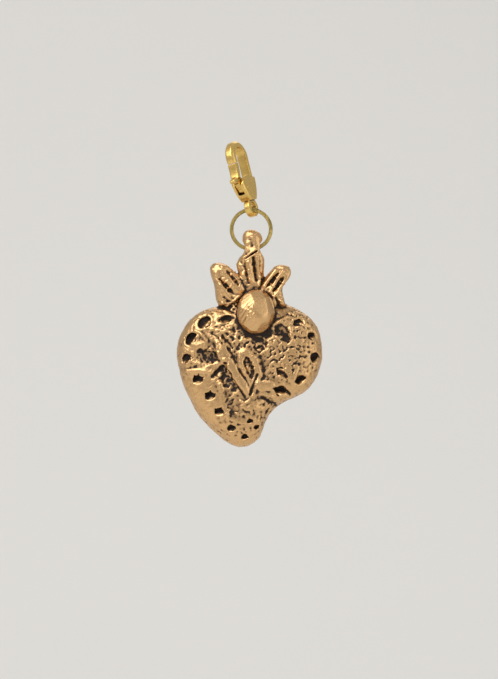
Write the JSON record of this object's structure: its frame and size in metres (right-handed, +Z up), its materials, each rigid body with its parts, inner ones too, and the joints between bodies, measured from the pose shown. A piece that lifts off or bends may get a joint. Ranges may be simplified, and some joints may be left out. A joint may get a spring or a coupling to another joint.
{
  "type": "heart charm",
  "caption": "Cast heart charm with a leafy crown, smooth boss and rim of pits, hung by a jump ring from a small lobster-claw clasp.",
  "frame": {"origin": "centre of the clasp hook's inner arc, where the carrying link or cord lies", "axes": "+Z up, +X to the viewer's right, +Y to the back of the charm"},
  "size_m": [0.0281, 0.0094, 0.0589],
  "materials": {
    "clasp_brass": "polished, a little worn",
    "spring_steel": "plain",
    "ring_brass": "polished",
    "cast_bronze": "dark patina in the hollows, brushed on the highs"
  },
  "bodies": {
    "clasp": {"clasp_body": "clasp_brass", "clasp_pivot_pin": "clasp_brass", "clasp_spring": "spring_steel"},
    "lever": {"clasp_lever": "clasp_brass"},
    "ring": {"jump_ring": "ring_brass"},
    "charm": {"heart_casting": "cast_bronze"}
  },
  "joints": [
    {"name": "lever_pivot", "type": "hinge", "parent": "clasp", "child": "lever", "pos_m": [0.00113, -0.00088, -0.00601], "axis": [0.8529, -0.4695, 0.2285], "range_deg": [0, 25], "stiffness_Nm_per_rad": 0.01, "springref_deg": -11.46, "deforming": ["clasp_spring"]},
    {"name": "ring_turn", "type": "hinge", "parent": "clasp", "child": "ring", "pos_m": [0.00277, 0.00035, -0.01376], "axis": [0, 1, 0], "range_deg": [-60, 60]},
    {"name": "heart_swing", "type": "hinge", "parent": "ring", "child": "charm", "pos_m": [0.00277, 0.00035, -0.01753], "axis": [1, 0, 0], "range_deg": [-90, 90]}
  ]
}
